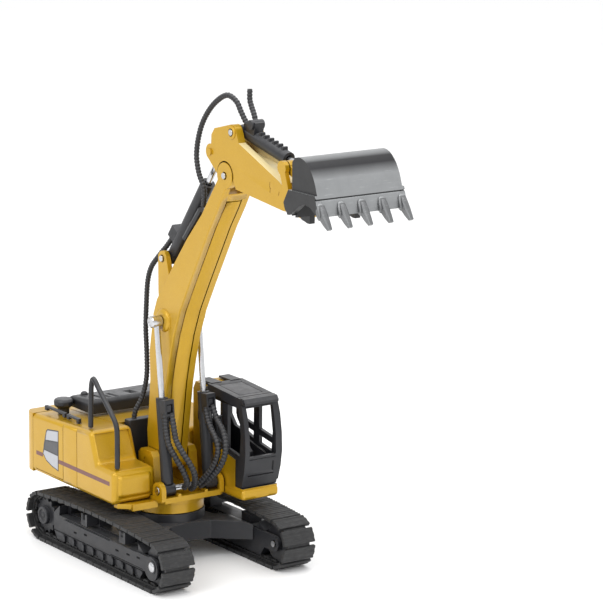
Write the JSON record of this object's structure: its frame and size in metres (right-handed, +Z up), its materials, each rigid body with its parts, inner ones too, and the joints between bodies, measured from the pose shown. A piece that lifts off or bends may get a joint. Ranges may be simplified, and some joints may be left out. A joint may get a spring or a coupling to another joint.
{
  "type": "toy excavator",
  "caption": "Die-cast toy excavator on crawler tracks with a swinging house, open cab, jointed boom, stick and quick-coupled bucket, and working cylinders",
  "frame": {"origin": "middle of the footprint of the whole toy at rest, on the surface it stands on; the swing axis is on the centre line, 32.8 mm behind it", "axes": "+X forward, towards the bucket; +Y to the left, the cab side; +Z up"},
  "size_m": [0.194, 0.068, 0.1864],
  "materials": {
    "yellow_paint": "satin metallic yellow enamel on die-cast zinc",
    "black_plastic": "satin black moulded plastic",
    "track_rubber": "matt black moulded rubber",
    "chrome_pin": "bright plated steel",
    "dark_steel": "dark grey metallic enamel on die-cast zinc",
    "hose_rubber": "ribbed black soft plastic",
    "red_lens": "glossy red"
  },
  "bodies": {
    "undercarriage": {"car_body": "black_plastic", "track_frame_right": "black_plastic", "track_frame_left": "black_plastic", "track_right": "track_rubber", "track_left": "track_rubber", "idler_axle_right": "chrome_pin", "idler_axle_left": "chrome_pin"},
    "sprocket_right": {"sprocket_right": "black_plastic"},
    "sprocket_left": {"sprocket_left": "black_plastic"},
    "idler_right": {"idler_right": "black_plastic"},
    "idler_left": {"idler_left": "black_plastic"},
    "house": {"turntable_ring": "yellow_paint", "swing_rivet": "chrome_pin", "house_shell": "yellow_paint", "counterweight": "yellow_paint", "rear_plate": "black_plastic", "tail_light_right": "red_lens", "tail_light_left": "red_lens", "deck_plate": "yellow_paint", "cylinder_foot_shaft": "chrome_pin", "boom_foot_pin": "chrome_pin", "engine_hood": "black_plastic", "intake_cap": "black_plastic", "rail_rear": "black_plastic", "rail_front": "black_plastic", "handrail": "black_plastic", "hose_manifold": "black_plastic", "cab_body": "yellow_paint", "cab_front": "black_plastic", "cab_seat": "black_plastic", "cab_console": "black_plastic", "cab_mirror": "black_plastic"},
    "boom": {"boom_arm": "yellow_paint", "stick_pivot_pin": "chrome_pin", "stick_cylinder_pin": "chrome_pin", "boom_pipes": "hose_rubber", "stick_cylinder_hose": "hose_rubber", "boom_hose_pair": "hose_rubber", "tip_hose_right": "hose_rubber"},
    "boom_barrel_right": {"boom_barrel_right": "black_plastic", "cylinder_hose_right": "hose_rubber"},
    "boom_barrel_left": {"boom_barrel_left": "black_plastic", "cylinder_hose_left": "hose_rubber"},
    "boom_rod_right": {"boom_rod_right": "chrome_pin"},
    "boom_rod_left": {"boom_rod_left": "chrome_pin"},
    "stick": {"stick_arm": "yellow_paint", "bucket_cylinder_pin": "chrome_pin", "rocker_pin": "chrome_pin", "stick_tip_pin": "chrome_pin"},
    "stick_barrel": {"stick_barrel": "black_plastic"},
    "stick_rod": {"stick_rod": "chrome_pin"},
    "bucket_barrel": {"bucket_barrel": "black_plastic", "tip_hose_left": "hose_rubber"},
    "bucket_rod": {"bucket_rod": "chrome_pin"},
    "rocker": {"rocker_link": "yellow_paint"},
    "h_link": {"h_link": "yellow_paint"},
    "bucket": {"coupler": "yellow_paint", "bucket": "dark_steel", "bucket_pin_lower": "chrome_pin", "bucket_pin_upper": "chrome_pin"}
  },
  "joints": [
    {"name": "house_swing", "type": "hinge", "parent": "undercarriage", "child": "house", "pos_m": [-0.0328, 0, 0.0219], "axis": [0, 0, 1], "continuous": true},
    {"name": "sprocket_right_spin", "type": "hinge", "parent": "undercarriage", "child": "sprocket_right", "pos_m": [-0.0731, -0.027, 0.0098], "axis": [0, 1, 0], "continuous": true},
    {"name": "idler_right_spin", "type": "hinge", "parent": "undercarriage", "child": "idler_right", "pos_m": [0.0075, -0.027, 0.0098], "axis": [0, 1, 0], "continuous": true},
    {"name": "sprocket_left_spin", "type": "hinge", "parent": "undercarriage", "child": "sprocket_left", "pos_m": [-0.0731, 0.027, 0.0098], "axis": [0, 1, 0], "continuous": true},
    {"name": "idler_left_spin", "type": "hinge", "parent": "undercarriage", "child": "idler_left", "pos_m": [0.0075, 0.027, 0.0098], "axis": [0, 1, 0], "continuous": true},
    {"name": "boom_lift", "type": "hinge", "parent": "house", "child": "boom", "pos_m": [-0.0333, 0, 0.0375], "axis": [0, -1, 0], "range_deg": [-50, 3], "deforming": ["stick_cylinder_hose", "boom_hose_pair"]},
    {"name": "boom_barrel_right_tilt", "type": "hinge", "parent": "house", "child": "boom_barrel_right", "pos_m": [-0.0185, -0.0093, 0.0298], "axis": [0, -1, 0], "range_deg": [-47, 4], "deforming": ["cylinder_hose_right"]},
    {"name": "boom_rod_right_slide", "type": "slide", "parent": "boom_barrel_right", "child": "boom_rod_right", "axis": [-0.1187, 0, 0.9929], "range_m": [-0.0142, 0.0011]},
    {"name": "boom_barrel_left_tilt", "type": "hinge", "parent": "house", "child": "boom_barrel_left", "pos_m": [-0.0185, 0.0093, 0.0298], "axis": [0, -1, 0], "range_deg": [-47, 4], "deforming": ["cylinder_hose_left"]},
    {"name": "boom_rod_left_slide", "type": "slide", "parent": "boom_barrel_left", "child": "boom_rod_left", "axis": [-0.1187, 0, 0.9929], "range_m": [-0.0142, 0.0011]},
    {"name": "stick_curl", "type": "hinge", "parent": "boom", "child": "stick", "pos_m": [0.0147, 0, 0.1548], "axis": [0, -1, 0], "range_deg": [-65, 10], "deforming": ["tip_hose_right"]},
    {"name": "stick_barrel_tilt", "type": "hinge", "parent": "boom", "child": "stick_barrel", "pos_m": [-0.029, 0, 0.1165], "axis": [0, -1, 0], "range_deg": [-6, 2]},
    {"name": "stick_rod_slide", "type": "slide", "parent": "stick_barrel", "child": "stick_rod", "axis": [0.5958, 0, 0.8032], "range_m": [-0.0025, 0.0128]},
    {"name": "bucket_curl", "type": "hinge", "parent": "stick", "child": "bucket", "pos_m": [0.0657, 0, 0.1505], "axis": [0, -1, 0], "range_deg": [-90, 15]},
    {"name": "rocker_tilt", "type": "hinge", "parent": "stick", "child": "rocker", "pos_m": [0.058, 0, 0.1511], "axis": [0, -1, 0], "range_deg": [-63, 11]},
    {"name": "h_link_tilt", "type": "hinge", "parent": "rocker", "child": "h_link", "pos_m": [0.0535, 0, 0.1637], "axis": [0, -1, 0], "range_deg": [-6, 31]},
    {"name": "bucket_barrel_tilt", "type": "hinge", "parent": "stick", "child": "bucket_barrel", "pos_m": [0.0188, 0, 0.1712], "axis": [0, -1, 0], "range_deg": [-1.5, 4]},
    {"name": "bucket_rod_slide", "type": "slide", "parent": "bucket_barrel", "child": "bucket_rod", "axis": [0.9774, 0, -0.2113], "range_m": [-0.0027, 0.0145]}
  ],
  "couplings": [
    {"joint": "idler_right_spin", "follows": "sprocket_right_spin", "ratio": 1},
    {"joint": "idler_left_spin", "follows": "sprocket_left_spin", "ratio": 1},
    {"joint": "boom_barrel_right_tilt", "follows": "boom_lift", "ratio": 0.9206},
    {"joint": "boom_rod_right_slide", "follows": "boom_lift", "m_per_rad": 0.01561},
    {"joint": "boom_barrel_left_tilt", "follows": "boom_lift", "ratio": 0.9206},
    {"joint": "boom_rod_left_slide", "follows": "boom_lift", "m_per_rad": 0.01561},
    {"joint": "stick_barrel_tilt", "follows": "stick_curl", "ratio": 0.075},
    {"joint": "stick_rod_slide", "follows": "stick_curl", "m_per_rad": -0.01088},
    {"joint": "rocker_tilt", "follows": "bucket_curl", "ratio": 0.6875},
    {"joint": "h_link_tilt", "follows": "bucket_curl", "ratio": -0.3326},
    {"joint": "bucket_barrel_tilt", "follows": "bucket_curl", "ratio": -0.0322},
    {"joint": "bucket_rod_slide", "follows": "bucket_curl", "m_per_rad": -0.008806}
  ]
}
